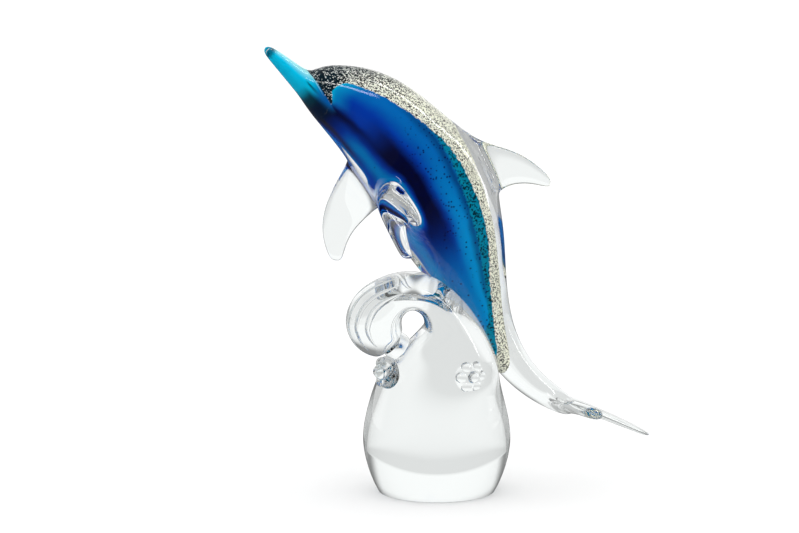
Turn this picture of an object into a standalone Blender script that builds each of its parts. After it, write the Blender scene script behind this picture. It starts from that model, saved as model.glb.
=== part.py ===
"""Glass dolphin figurine: a dolphin of cased glass leaping from a curling wave of clear glass.

The wave stands on a flat ground foot, centred on the origin, with +Z up. The dolphin swims
over the back of the wave in the XZ plane, with its beak up and towards -X. Lengths are in
metres.
"""

import math

import bmesh
import bpy
from mathutils import Matrix, Vector

MM = 0.001

# Wave base: a heavy round body that narrows to a neck.
FOOT_RADIUS = 26.0 * MM
FOOT_FLARE = 3.4 * MM
FOOT_FLARE_LEVEL = 6.0 * MM
BELLY_WIDTH = 69.0 * MM
BELLY_DEPTH = 64.0 * MM
BELLY_LEVEL = 23.0 * MM
NECK_WIDTH = 60.5 * MM
NECK_DEPTH = 57.0 * MM
NECK_LEVEL = 41.0 * MM
# Two slanting rings lead from the neck into the crest: left end, right end and depth of each.
SHOULDERS = (
    ((-25.4 * MM, 55.6 * MM), (28.4 * MM, 48.0 * MM), 54.0 * MM),
    ((-14.4 * MM, 66.0 * MM), (27.6 * MM, 54.0 * MM), 53.0 * MM),
)

# Crest: it leans over and curls round a small upright eye that goes right through.
EYE_OFFSET = -10.7 * MM
EYE_LEVEL = 76.0 * MM
EYE_WIDTH = 9.8 * MM
EYE_HEIGHT = 14.4 * MM
# The corners of the curl within this reach of the eye are spread out, so that its wall runs straight.
EYE_WALL_REACH = 9.0 * MM
EYE_WALL_SHARE = 2.0
CREST_DEPTH = 46.0 * MM
# Each turn of the curl: angle round the eye in degrees, outside radius, share of the depth.
CURL_TURNS = (
    (-24.0, 39.8 * MM, 1.12),
    (-4.0, 30.6 * MM, 1.08),
    (26.0, 24.2 * MM, 1.02),
    (58.0, 22.6 * MM, 0.97),
    (92.0, 22.5 * MM, 0.96),
    (124.0, 23.8 * MM, 0.98),
    (154.0, 28.4 * MM, 0.98),
    (180.0, 30.2 * MM, 0.94),
    (203.0, 27.2 * MM, 0.86),
    (220.0, 22.6 * MM, 0.70),
)
TIP_ANGLE = 227.0
TIP_INSIDE = 9.5 * MM
TIP_OUTSIDE = 19.5 * MM
TIP_SHARE = 0.50
# Where the tip of the curl melts onto the neck: angle and distance from the eye, radius and half depth.
SEAM_ANGLE = 236.0
SEAM_DISTANCE = 12.8 * MM
SEAM_RADIUS = 6.3 * MM
SEAM_HALF_DEPTH = 12.0 * MM
SEAM_SEGMENT_COUNT = 16
SEAM_RING_COUNT = 12

# Ribs pressed along the outside of the curl, between two angles round the eye.
RIB_COUNT = 7
RIB_SPREAD = 156.0
RIB_RADIUS = 1.8 * MM
RIB_START = 104.0
RIB_END = 208.0
RIB_POINTS = 9
RIB_TAPER = 0.15

# Berry prunts melted onto the front of the wave, at two turns round its neck.
PRUNT_RADIUS = 7.3 * MM
PRUNT_HEIGHT = 4.2 * MM
PRUNT_LEVEL = 56.0 * MM
PRUNT_SETBACK = 26.4 * MM
PRUNT_TURNS = (-56.0, 31.0)
BERRY_RADIUS = 2.7 * MM
BERRY_COUNT = 6
BERRY_SINK = 0.6 * MM
PRUNT_SEGMENT_COUNT = 16
PRUNT_RING_COUNT = 8
BERRY_DIVISION_COUNT = 2

# Dolphin: a free form, drawn in millimetres from its seat for a height of 176.
DOLPHIN_HEIGHT = 176.0 * MM
DRAWN_HEIGHT = 176.0
SEAT_ANGLE = 35.0
SEAT_RADIUS = 23.4 * MM
SEAT_SETBACK = 9.0 * MM
SEAT_CLEARANCE = 0.3 * MM
SIDE_BEND_RADIUS = 260.0
# Each ring of the body: place along X, height, half depth, half width.
BODY_RINGS = (
    (-85.8, 109.2, 1.9, 2.2),
    (-79.0, 103.4, 3.3, 3.7),
    (-71.2, 96.0, 4.6, 5.4),
    (-67.4, 93.2, 6.0, 7.0),
    (-63.8, 91.6, 9.2, 9.6),
    (-58.2, 89.6, 12.9, 12.6),
    (-44.6, 83.2, 18.8, 17.6),
    (-32.6, 73.6, 21.8, 20.2),
    (-19.8, 60.2, 23.6, 21.8),
    (-11.9, 48.8, 24.7, 22.4),
    (-3.4, 32.0, 24.6, 22.0),
    (2.4, 17.5, 21.0, 19.4),
    (9.6, -0.9, 13.8, 14.0),
    (17.7, -21.6, 8.8, 9.6),
    (29.9, -39.5, 6.9, 7.8),
    (44.2, -49.0, 5.4, 7.2),
    (54.6, -54.0, 3.6, 5.0),
)
# Each fin: rings before its root, faces it takes, and its angle round the body from the back.
DORSAL_ROOT_COUNTS = (8, 2)
DORSAL_ROOT_ANGLE = 0.0
FAR_FLIPPER_ROOT_COUNTS = (7, 2)
FAR_FLIPPER_ROOT_ANGLE = 135.0
NEAR_FLIPPER_ROOT_COUNTS = (8, 2)
NEAR_FLIPPER_ROOT_ANGLE = -135.0
FLUKE_ROOT_COUNTS = (15, 1)
FAR_FLUKE_ROOT_ANGLE = 90.0
NEAR_FLUKE_ROOT_ANGLE = -90.0
# Half thickness of a fin along its middle and along its edges, as shares of its thickness.
FIN_MIDDLE_SHARE = 0.5
FIN_EDGE_SHARE = 0.35
# Each section of a fin: leading edge, trailing edge (X, Y, height), thickness.
DORSAL_FIN = (
    ((8.6, 9.0, 68.0), (19.6, 9.0, 43.4), 6.4),
    ((17.6, 9.0, 65.0), (22.6, 9.0, 46.4), 3.8),
    ((30.6, 9.0, 61.0), (31.6, 9.0, 48.2), 3.0),
    ((42.6, 9.0, 50.4), (42.4, 9.0, 45.4), 2.2),
)
FAR_FLIPPER = (
    ((-54.6, 22.0, 47.0), (-38.0, 22.0, 32.6), 5.0),
    ((-60.2, 29.0, 33.0), (-45.4, 29.0, 24.6), 3.4),
    ((-61.0, 35.0, 21.0), (-49.2, 35.0, 17.4), 2.8),
    ((-57.0, 39.0, 9.0), (-51.6, 39.0, 8.4), 2.4),
)
NEAR_FLIPPER = (
    ((-36.4, -25.0, 46.8), (-19.4, -25.0, 36.0), 5.6),
    ((-33.6, -34.0, 38.8), (-22.6, -34.0, 33.4), 4.2),
    ((-28.3, -40.0, 28.9), (-21.0, -40.0, 26.4), 3.8),
    ((-24.2, -45.0, 21.2), (-18.8, -45.0, 21.2), 3.8),
)
FAR_FLUKE = (
    ((50.5, 17.0, -50.6), (61.0, 8.0, -55.8), 5.2),
    ((67.0, 23.0, -58.6), (76.0, 13.0, -62.4), 3.4),
    ((89.0, 27.0, -68.6), (91.0, 22.0, -70.8), 2.4),
)
NEAR_FLUKE = (
    ((46.5, -9.0, -47.6), (59.4, -3.6, -53.4), 6.6),
    ((51.5, -18.0, -48.4), (64.0, -13.0, -52.8), 6.0),
    ((59.6, -24.0, -50.0), (65.4, -22.0, -52.2), 5.6),
)

SIDES = 8
# Share of the smoothed faces that is kept, where flat stretches need fewer.
KEPT_FACES = 0.60
# A smoothed ring is this much smaller than its eight points, and so is a curl than its turns.
RING_FULLNESS = 1.109
TURN_FULLNESS = 1.045
SMOOTHING = 2
WELD = 0.00001
LEVEL_TOLERANCE = 0.000001

CLEAR_GLASS = ("clear glass", (0.86, 0.91, 0.89, 1.0), 0.03)
BLUE_GLASS = ("blue cased glass", (0.02, 0.27, 0.60, 1.0), 0.04)


def clear_scene():
    """Remove every object that the file opened with."""
    for thing in list(bpy.data.objects):
        bpy.data.objects.remove(thing, do_unlink=True)


def new_collection(name, shown=True):
    """Collection under the scene; a hidden one is left out of renders."""
    made = bpy.data.collections.new(name)
    made.hide_render = not shown
    bpy.context.scene.collection.children.link(made)
    return made


def new_material(name, colour, roughness):
    """Principled material in one plain colour."""
    made = bpy.data.materials.new(name)
    made.use_nodes = True
    shader = made.node_tree.nodes["Principled BSDF"]
    shader.inputs["Base Color"].default_value = colour
    shader.inputs["Roughness"].default_value = roughness
    shader.inputs["Metallic"].default_value = 0.0
    made.diffuse_color = colour
    return made


def new_object(name, shape, collection, material=None):
    """Object holding the bmesh, with its faces turned outwards and shaded smooth."""
    bmesh.ops.recalc_face_normals(shape, faces=shape.faces)
    mesh = bpy.data.meshes.new(name)
    shape.to_mesh(mesh)
    shape.free()
    mesh.shade_smooth()
    made = bpy.data.objects.new(name, mesh)
    if material:
        mesh.materials.append(material)
    collection.objects.link(made)
    return made


def as_cutter(thing):
    """Mark an object as a helper that is never seen itself."""
    thing.hide_render = True
    thing.display_type = "WIRE"
    return thing


def add_smoothing(thing):
    """Round the cage of an object, then thin out the faces of its flatter stretches."""
    rounding = thing.modifiers.new("rounding", "SUBSURF")
    rounding.levels = SMOOTHING
    rounding.render_levels = SMOOTHING
    thinning = thing.modifiers.new("thinning", "DECIMATE")
    thinning.ratio = KEPT_FACES


def add_boolean(thing, other, operation):
    """Join another object to this one, or cut it away."""
    step = thing.modifiers.new(other.name, "BOOLEAN")
    step.operation = operation
    step.object = other
    step.solver = "EXACT"


def ring_frame(centre, across, side, half_depth, half_width):
    """Matrix that carries a unit circle to a ring with the given half sizes."""
    along = across.cross(side).normalized() * MM
    columns = (across * half_depth * RING_FULLNESS, side * half_width * RING_FULLNESS, along)
    frame = Matrix(columns).transposed().to_4x4()
    frame.translation = centre
    return frame


def extrude(shape, faces, keep=False):
    """Extrude faces as one region and return the new ones, which the caller moves."""
    made = bmesh.ops.extrude_face_region(shape, geom=faces)["geom"]
    if not keep:
        bmesh.ops.delete(shape, geom=faces, context="FACES")
    return [piece for piece in made if isinstance(piece, bmesh.types.BMFace)]


def loft(frames):
    """Closed cage that runs through the rings, from the first to the last."""
    shape = bmesh.new()
    half_side = Matrix.Rotation(math.pi / SIDES, 4, "Z")
    start = frames[0] @ half_side
    bmesh.ops.create_circle(shape, cap_ends=True, segments=SIDES, radius=1.0, matrix=start)
    cap = list(shape.faces)
    for last, frame in zip(frames, frames[1:]):
        cap = extrude(shape, cap, keep=last is frames[0])
        bmesh.ops.transform(shape, matrix=frame @ last.inverted(), verts=cap[0].verts)
    return shape


def crease_rim(shape, level):
    """Keep the edges that lie at one height sharp when the cage is smoothed."""
    crease = shape.edges.layers.float.new("crease_edge")
    for edge in shape.edges:
        if all(abs(corner.co.z - level) < LEVEL_TOLERANCE for corner in edge.verts):
            edge[crease] = 1.0


def straighten_eye(shape):
    """Spread the corners round the eye over its depth, so that its wall runs straight through."""
    middle = round_eye(0.0, 0.0)
    for corner in shape.verts:
        reach = Vector((corner.co.x, 0.0, corner.co.z)) - middle
        if reach.length < EYE_WALL_REACH:
            corner.co.y *= EYE_WALL_SHARE


def round_eye(angle, distance):
    """Point in the XZ plane at an angle in degrees and a distance from the middle of the eye."""
    turn = math.radians(angle)
    return Vector((EYE_OFFSET + distance * math.cos(turn), 0.0, EYE_LEVEL + distance * math.sin(turn)))


def eye_radius(angle):
    """Distance from the middle of the eye to its edge at an angle."""
    turn = math.radians(angle)
    return 1.0 / math.hypot(math.cos(turn) / (EYE_WIDTH / 2.0), math.sin(turn) / (EYE_HEIGHT / 2.0))


def curl_turns():
    """Each turn of the curl: angle, inside radius, outside radius and depth, with the tip last."""
    turns = []
    for angle, outside, share in CURL_TURNS:
        turns.append((angle, eye_radius(angle), outside, CREST_DEPTH * share))
    turns.append((TIP_ANGLE, TIP_INSIDE, TIP_OUTSIDE, CREST_DEPTH * TIP_SHARE))
    return turns


def slanting_ring(left, right, depth):
    """Ring across the wave whose inner and outer ends are two points of the XZ plane."""
    across = (right - left).normalized()
    half_thickness = (right - left).length / 2.0
    return ring_frame((left + right) / 2.0, across, Vector((0.0, 1.0, 0.0)), half_thickness, depth / 2.0)


def level_ring(level, width, depth):
    """Ring that lies flat at a height."""
    half = Vector((width / 2.0, 0.0, 0.0))
    middle = Vector((0.0, 0.0, level))
    return slanting_ring(middle - half, middle + half, depth)


def wave_rings():
    """Rings of the wave, from the foot up the base and round the curl."""
    foot = 2.0 * FOOT_RADIUS
    flare = 2.0 * (FOOT_RADIUS + FOOT_FLARE)
    rings = [
        level_ring(0.0, foot, foot),
        level_ring(FOOT_FLARE_LEVEL, flare, flare),
        level_ring(BELLY_LEVEL, BELLY_WIDTH, BELLY_DEPTH),
        level_ring(NECK_LEVEL, NECK_WIDTH, NECK_DEPTH),
    ]
    for (left_x, left_z), (right_x, right_z), depth in SHOULDERS:
        rings.append(slanting_ring(Vector((left_x, 0.0, left_z)), Vector((right_x, 0.0, right_z)), depth))
    for angle, inside, outside, depth in curl_turns():
        inner = round_eye(angle, inside * TURN_FULLNESS)
        outer = round_eye(angle, outside * TURN_FULLNESS)
        rings.append(slanting_ring(inner, outer, depth))
    return rings


def seat_point():
    """Place on the back of the wave that the dolphin is drawn from."""
    return round_eye(SEAT_ANGLE, SEAT_RADIUS) + Vector((0.0, SEAT_SETBACK, 0.0))


def drawn(point):
    """World place of a point of the dolphin's drawing, which starts at the seat's own X and height."""
    scale = DOLPHIN_HEIGHT / DRAWN_HEIGHT
    seat = seat_point()
    return Vector((seat.x, 0.0, seat.z)) + Vector(point) * scale


def body_ring(index):
    """Ring of the dolphin's body, square to the spine and bent round to the front."""
    scale = DOLPHIN_HEIGHT / DRAWN_HEIGHT
    place, height, half_depth, half_width = BODY_RINGS[index]
    before = BODY_RINGS[max(index - 1, 0)]
    after = BODY_RINGS[min(index + 1, len(BODY_RINGS) - 1)]
    yaw = place / SIDE_BEND_RADIUS
    forward = Vector((math.cos(yaw), -math.sin(yaw), 0.0))
    side = Vector((math.sin(yaw), math.cos(yaw), 0.0))
    along = forward * (after[0] - before[0]) + Vector((0.0, 0.0, after[1] - before[1]))
    across = along.normalized().cross(side)
    spine = Vector((SIDE_BEND_RADIUS * math.sin(yaw), SIDE_BEND_RADIUS * (math.cos(yaw) - 1.0), height))
    centre = drawn(spine) + Vector((0.0, SEAT_SETBACK, 0.0))
    return ring_frame(centre, across, side, half_depth * scale, half_width * scale)


def skin_faces(shape, first, count, angle):
    """Faces of the body in one row at an angle round it, from the ring with the given number."""
    turn = Vector((math.cos(math.radians(angle)), math.sin(math.radians(angle)), 0.0))
    found = []
    for index in range(first, first + count):
        target = (body_ring(index) @ turn + body_ring(index + 1) @ turn) / 2.0
        found.append(min(shape.faces, key=lambda face: (face.calc_center_median() - target).length))
    return found


def section_points(corners, lead, trail, normal, thickness):
    """Move the corners of a fin's end into a thin section between its two edges."""
    chord = trail - lead
    ordered = sorted(corners, key=lambda corner: corner.co.dot(chord))
    pairs = [ordered[start : start + 2] for start in range(0, len(ordered), 2)]
    for place, pair in enumerate(pairs):
        share = place / (len(pairs) - 1)
        at_edge = place in (0, len(pairs) - 1) and len(pairs) > 2
        fullness = FIN_EDGE_SHARE if at_edge else FIN_MIDDLE_SHARE
        inner, outer = sorted(pair, key=lambda corner: corner.co.dot(normal))
        middle = lead + chord * share
        inner.co = middle - normal * thickness * fullness
        outer.co = middle + normal * thickness * fullness


def grow_fin(shape, counts, angle, sections):
    """Extrude faces of the body, found by their counts and angle, through the sections of a fin."""
    scale = DOLPHIN_HEIGHT / DRAWN_HEIGHT
    faces = skin_faces(shape, *counts, angle)
    middle = sum((face.calc_center_median() for face in faces), Vector()) / len(faces)
    for lead, trail, thickness in sections:
        lead = drawn(lead)
        trail = drawn(trail)
        outwards = (lead + trail) / 2.0 - middle
        middle = (lead + trail) / 2.0
        normal = (trail - lead).cross(outwards).normalized()
        faces = extrude(shape, faces)
        corners = list({corner for face in faces for corner in face.verts})
        section_points(corners, lead, trail, normal, thickness * scale)


def dolphin_cage():
    """Cage of the dolphin: the body, the back fin, two flippers and two flukes."""
    shape = loft([body_ring(index) for index in range(len(BODY_RINGS))])
    grow_fin(shape, DORSAL_ROOT_COUNTS, DORSAL_ROOT_ANGLE, DORSAL_FIN)
    grow_fin(shape, FAR_FLIPPER_ROOT_COUNTS, FAR_FLIPPER_ROOT_ANGLE, FAR_FLIPPER)
    grow_fin(shape, NEAR_FLIPPER_ROOT_COUNTS, NEAR_FLIPPER_ROOT_ANGLE, NEAR_FLIPPER)
    grow_fin(shape, FLUKE_ROOT_COUNTS, FAR_FLUKE_ROOT_ANGLE, FAR_FLUKE)
    grow_fin(shape, FLUKE_ROOT_COUNTS, NEAR_FLUKE_ROOT_ANGLE, NEAR_FLUKE)
    return shape


def build_dolphin(parts, helpers):
    """Dolphin, and the swollen copy of it that cuts its seat."""
    dolphin = new_object("dolphin", dolphin_cage(), parts, new_material(*BLUE_GLASS))
    add_smoothing(dolphin)
    seat = as_cutter(new_object("dolphin_seat", dolphin_cage(), helpers))
    add_smoothing(seat)
    swelling = seat.modifiers.new("clearance", "DISPLACE")
    swelling.strength = SEAT_CLEARANCE
    swelling.mid_level = 0.0
    return seat


def turn_at(angle):
    """Inside radius, outside radius and depth of the curl at any angle round the eye."""
    turns = curl_turns()
    for before, after in zip(turns, turns[1:]):
        if before[0] <= angle <= after[0]:
            share = (angle - before[0]) / (after[0] - before[0])
            return [low + (high - low) * share for low, high in zip(before[1:], after[1:])]
    return turns[-1][1:]


def rib_point(angle, spread):
    """Point on the outside of the curl, at an angle round the eye and an angle round the section."""
    inside, outside, depth = turn_at(angle)
    turn = math.radians(spread)
    middle = round_eye(angle, (inside + outside) / 2.0 + (outside - inside) / 2.0 * math.cos(turn))
    return middle + Vector((0.0, depth / 2.0 * math.sin(turn), 0.0))


def rib_tube(spread):
    """Mesh of the tube that presses one rib, tapered towards both ends."""
    line = bpy.data.curves.new("rib", "CURVE")
    line.dimensions = "3D"
    line.bevel_depth = RIB_RADIUS
    line.bevel_resolution = 1
    line.use_fill_caps = True
    spline = line.splines.new("POLY")
    spline.points.add(RIB_POINTS - 1)
    for index, point in enumerate(spline.points):
        share = index / (RIB_POINTS - 1)
        point.co = (*rib_point(RIB_START + (RIB_END - RIB_START) * share, spread), 1.0)
        point.radius = RIB_TAPER + (1.0 - RIB_TAPER) * math.sin(math.pi * share)
    holder = bpy.data.objects.new("rib", line)
    bpy.context.scene.collection.objects.link(holder)
    graph = bpy.context.evaluated_depsgraph_get()
    mesh = bpy.data.meshes.new_from_object(holder.evaluated_get(graph))
    bpy.data.objects.remove(holder, do_unlink=True)
    bpy.data.curves.remove(line)
    return mesh


def build_ribs(helpers):
    """Cutter with all the ribs, spread evenly over the outside of the curl."""
    shape = bmesh.new()
    for index in range(RIB_COUNT):
        shape.from_mesh(rib_tube(RIB_SPREAD * (index / (RIB_COUNT - 1) - 0.5)))
    bmesh.ops.remove_doubles(shape, verts=shape.verts, dist=WELD)
    return as_cutter(new_object("curl_ribs", shape, helpers))


def build_seam(helpers):
    """Blob of glass that closes the curl, where its tip melts onto the neck."""
    place = Matrix.Translation(round_eye(SEAM_ANGLE, SEAM_DISTANCE))
    place = place @ Matrix.Diagonal((SEAM_RADIUS, SEAM_HALF_DEPTH, SEAM_RADIUS, 1.0))
    shape = bmesh.new()
    bmesh.ops.create_uvsphere(
        shape, u_segments=SEAM_SEGMENT_COUNT, v_segments=SEAM_RING_COUNT, radius=1.0, matrix=place
    )
    return as_cutter(new_object("curl_seam", shape, helpers))


def build_prunt(index, helpers):
    """Blob with a ring of berries round a middle one, half sunk in the front of the wave."""
    facing = Matrix.Rotation(math.radians(PRUNT_TURNS[index]), 4, "Z")
    facing = facing @ Matrix.Rotation(math.pi / 2, 4, "X")
    place = Matrix.Translation((0.0, 0.0, PRUNT_LEVEL)) @ facing
    place = place @ Matrix.Translation((0.0, 0.0, PRUNT_SETBACK))
    blob = bmesh.new()
    flattened = place @ Matrix.Diagonal((PRUNT_RADIUS, PRUNT_RADIUS, PRUNT_HEIGHT, 1.0))
    bmesh.ops.create_uvsphere(
        blob, u_segments=PRUNT_SEGMENT_COUNT, v_segments=PRUNT_RING_COUNT, radius=1.0, matrix=flattened
    )
    thing = as_cutter(new_object(f"prunt_{index + 1}", blob, helpers))
    berries = bmesh.new()
    ring = PRUNT_RADIUS - BERRY_RADIUS
    places = [Vector((0.0, 0.0, PRUNT_HEIGHT - BERRY_SINK))]
    for step in range(BERRY_COUNT):
        turn = math.tau * step / BERRY_COUNT
        places.append(Vector((ring * math.cos(turn), ring * math.sin(turn), BERRY_SINK)))
    for berry in places:
        spot = place @ Matrix.Translation(berry)
        bmesh.ops.create_icosphere(
            berries, subdivisions=BERRY_DIVISION_COUNT, radius=BERRY_RADIUS, matrix=spot
        )
    add_boolean(thing, as_cutter(new_object(f"berries_{index + 1}", berries, helpers)), "UNION")
    thing.modifiers[-1].use_self = True
    return thing


def build_wave(parts, helpers, seat):
    """Wave with its curl, cut to the dolphin's seat, with its prunts melted on."""
    cage = loft(wave_rings())
    straighten_eye(cage)
    crease_rim(cage, 0.0)
    wave = new_object("wave_base", cage, parts, new_material(*CLEAR_GLASS))
    add_smoothing(wave)
    add_boolean(wave, build_seam(helpers), "UNION")
    add_boolean(wave, seat, "DIFFERENCE")
    add_boolean(wave, build_ribs(helpers), "DIFFERENCE")
    for index in range(len(PRUNT_TURNS)):
        add_boolean(wave, build_prunt(index, helpers), "UNION")


def main():
    """Build the figurine."""
    clear_scene()
    parts = new_collection("glass_dolphin_figurine")
    helpers = new_collection("cutters", shown=False)
    seat = build_dolphin(parts, helpers)
    build_wave(parts, helpers, seat)


main()
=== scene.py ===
"""Looks of the glass dolphin figurine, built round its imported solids.

The dolphin and the wave are one body of clear glass, melted together where they meet. Sealed in
the dolphin is a core of blue glass with a stripe of teal grains and a back of silver flakes.
Lengths are in metres, except the drawing of the dolphin, which is in millimetres from its seat.
"""

import logging
import math
from dataclasses import dataclass, field
from enum import Enum

import bpy
from mathutils import Matrix, Vector


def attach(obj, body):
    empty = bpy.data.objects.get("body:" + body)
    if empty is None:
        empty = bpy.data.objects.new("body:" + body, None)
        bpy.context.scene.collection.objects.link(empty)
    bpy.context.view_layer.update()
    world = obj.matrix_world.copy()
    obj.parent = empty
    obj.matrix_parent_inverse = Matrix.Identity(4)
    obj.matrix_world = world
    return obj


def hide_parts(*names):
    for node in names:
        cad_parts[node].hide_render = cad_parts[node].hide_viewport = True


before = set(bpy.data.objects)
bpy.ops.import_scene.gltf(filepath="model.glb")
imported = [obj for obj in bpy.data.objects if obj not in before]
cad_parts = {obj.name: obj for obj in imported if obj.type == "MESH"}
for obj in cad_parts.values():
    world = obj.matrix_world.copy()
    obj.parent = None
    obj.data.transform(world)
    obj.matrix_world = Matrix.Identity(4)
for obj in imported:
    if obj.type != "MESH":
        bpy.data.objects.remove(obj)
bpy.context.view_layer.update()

MM = 0.001

SIDES = 8
# A smoothed ring is this much smaller than its eight points, and so is a curl than its turns.
RING_FULLNESS = 1.109
TURN_FULLNESS = 1.045
GLASS_INDEX = 1.5
LAST_RING = 16.0

logger = logging.getLogger("glass_dolphin")


class Operation(Enum):
    """What is done with a second mesh."""

    MELT = "UNION"
    CUT = "DIFFERENCE"


def srgb(red: float, green: float, blue: float) -> tuple[float, float, float, float]:
    """Turn a screen colour into light values.

    Args:
        red: Red from 0 to 255.
        green: Green from 0 to 255.
        blue: Blue from 0 to 255.

    Returns:
        The colour in linear light, with full alpha.
    """
    shares = []
    for value in (red, green, blue):
        share = value / 255.0
        shares.append(share / 12.92 if share <= 0.04045 else ((share + 0.055) / 1.055) ** 2.4)
    return (shares[0], shares[1], shares[2], 1.0)


# Shader graphs


@dataclass(frozen=True)
class Signal:
    """One number that flows through a node tree, with the usual arithmetic."""

    graph: "Graph"
    socket: bpy.types.NodeSocket

    def _math(self, operation: str, first: object, second: object) -> "Signal":
        """Add a Math node for two values and return what it gives."""
        settings = {"operation": operation}
        return self.graph.add("ShaderNodeMath", settings, {0: first, 1: second})

    def __add__(self, other: object) -> "Signal":
        """Sum of the two."""
        return self._math("ADD", self, other)

    def __radd__(self, other: object) -> "Signal":
        """Sum of the two."""
        return self._math("ADD", other, self)

    def __sub__(self, other: object) -> "Signal":
        """This less the other."""
        return self._math("SUBTRACT", self, other)

    def __rsub__(self, other: object) -> "Signal":
        """The other less this."""
        return self._math("SUBTRACT", other, self)

    def __mul__(self, other: object) -> "Signal":
        """Product of the two."""
        return self._math("MULTIPLY", self, other)

    def __rmul__(self, other: object) -> "Signal":
        """Product of the two."""
        return self._math("MULTIPLY", other, self)

    def __truediv__(self, other: object) -> "Signal":
        """This over the other."""
        return self._math("DIVIDE", self, other)

    def at_most(self, other: object) -> "Signal":
        """The lower of the two."""
        return self._math("MINIMUM", self, other)

    def at_least(self, other: object) -> "Signal":
        """The higher of the two."""
        return self._math("MAXIMUM", self, other)

    def root(self) -> "Signal":
        """Square root of the value."""
        return self._math("SQRT", self, 0.0)

    def rise(self, low: float, high: float) -> "Signal":
        """Smooth step from 0 at one value to 1 at another.

        Args:
            low: Value where the step starts.
            high: Value where it is complete, which may be the lower of the two.

        Returns:
            The step, between 0 and 1.
        """
        turned = low > high
        start, end = (high, low) if turned else (low, high)
        settings = {"interpolation_type": "SMOOTHSTEP"}
        inputs = {"Value": self, "From Min": start, "From Max": end}
        step = self.graph.add("ShaderNodeMapRange", settings, inputs)
        return 1.0 - step if turned else step

    def bump(self, low: float, peak: float, high: float) -> "Signal":
        """Smooth hill that is 0 at both ends and 1 at its peak."""
        return self.rise(low, peak) * self.rise(high, peak)


class Graph:
    """Node tree that is wired up by expressions."""

    def __init__(self, tree: bpy.types.NodeTree) -> None:
        """Start from an empty tree.

        Args:
            tree: Node tree of a material or a world.
        """
        self.tree = tree
        tree.nodes.clear()

    def add(
        self,
        kind: str,
        settings: dict,
        inputs: dict,
        output: int | str = 0,
        stops: tuple[tuple[float, float], ...] = (),
    ) -> Signal:
        """Add one node.

        Args:
            kind: Type of the node.
            settings: Attributes of the node, which are set before its sockets.
            inputs: Value or signal for each named or numbered socket.
            output: Output that the signal comes from.
            stops: Place and grey level of each stop of a ramp, which are set before its sockets.

        Returns:
            The signal of that output.
        """
        node = self.tree.nodes.new(kind)
        for name, value in settings.items():
            setattr(node, name, value)
        while stops and len(node.color_ramp.elements) < len(stops):
            node.color_ramp.elements.new(0.5)
        for index, (place, level) in enumerate(stops):
            node.color_ramp.elements[index].position = place
            node.color_ramp.elements[index].color = (level, level, level, 1.0)
        for name, value in inputs.items():
            socket = node.inputs[name]
            if isinstance(value, Signal):
                self.tree.links.new(value.socket, socket)
            else:
                socket.default_value = value
        return Signal(self, node.outputs[output])

    def attribute(self, name: str) -> Signal:
        """Number that is kept on each point of the piece."""
        return self.add("ShaderNodeAttribute", {"attribute_name": name}, {}, "Fac")

    def mix(self, factor: object, first: object, second: object) -> Signal:
        """Blend of two colours.

        Args:
            factor: Share of the second colour.
            first: Colour at 0.
            second: Colour at 1.

        Returns:
            The blended colour.
        """
        settings = {"data_type": "RGBA"}
        return self.add("ShaderNodeMix", settings, {0: factor, 6: first, 7: second}, 2)

    def noise(self, place: Signal, scale: float, detail: float = 2.0) -> Signal:
        """Cloudy noise from 0 to 1."""
        inputs = {"Vector": place, "Scale": scale, "Detail": detail}
        return self.add("ShaderNodeTexNoise", {}, inputs, 0)

    def grains(self, place: Signal, scale: float, output: str = "Distance") -> Signal:
        """Distance to the nearest grain, or a colour that differs from grain to grain."""
        return self.add("ShaderNodeTexVoronoi", {}, {"Vector": place, "Scale": scale}, output)

    def profile(self, value: Signal, length: float, points: tuple[tuple[float, float], ...]) -> Signal:
        """Line through points.

        Args:
            value: Place along the line, from 0.
            length: Greatest place.
            points: Place and height of each point, with heights from -1 to 1.

        Returns:
            The height at the place.
        """
        stops = tuple((place / length, (height + 1.0) / 2.0) for place, height in points)
        level = self.add("ShaderNodeValToRGB", {}, {"Fac": value / length}, "Color", stops)
        return level * 2.0 - 1.0

    def red_of(self, colour: Signal) -> Signal:
        """Red share of a colour, as a number."""
        return self.add("ShaderNodeSeparateColor", {}, {0: colour}, "Red")

    def object_place(self) -> Signal:
        """Place on the piece, in metres."""
        return self.add("ShaderNodeTexCoord", {}, {}, "Object")

    def surface(self, shader: Signal) -> None:
        """Send a shader to the surface of the material or the world."""
        world = any(node.type == "BACKGROUND" for node in self.tree.nodes)
        end = self.tree.nodes.new("ShaderNodeOutputWorld" if world else "ShaderNodeOutputMaterial")
        self.tree.links.new(shader.socket, end.inputs["Surface"])


# Finishes


@dataclass(frozen=True)
class ClearGlass:
    """Clear glass with a faint cool cast."""

    colour: tuple[float, float, float, float] = (0.955, 0.984, 0.976, 1.0)
    roughness: float = 0.0

    def material(self) -> bpy.types.Material:
        """Make the material."""
        made = bpy.data.materials.new("clear_glass")
        made.use_nodes = True
        graph = Graph(made.node_tree)
        inputs = {
            "Base Color": self.colour,
            "Roughness": self.roughness,
            "IOR": GLASS_INDEX,
            "Transmission Weight": 1.0,
        }
        graph.surface(graph.add("ShaderNodeBsdfPrincipled", {}, inputs))
        return made


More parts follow.
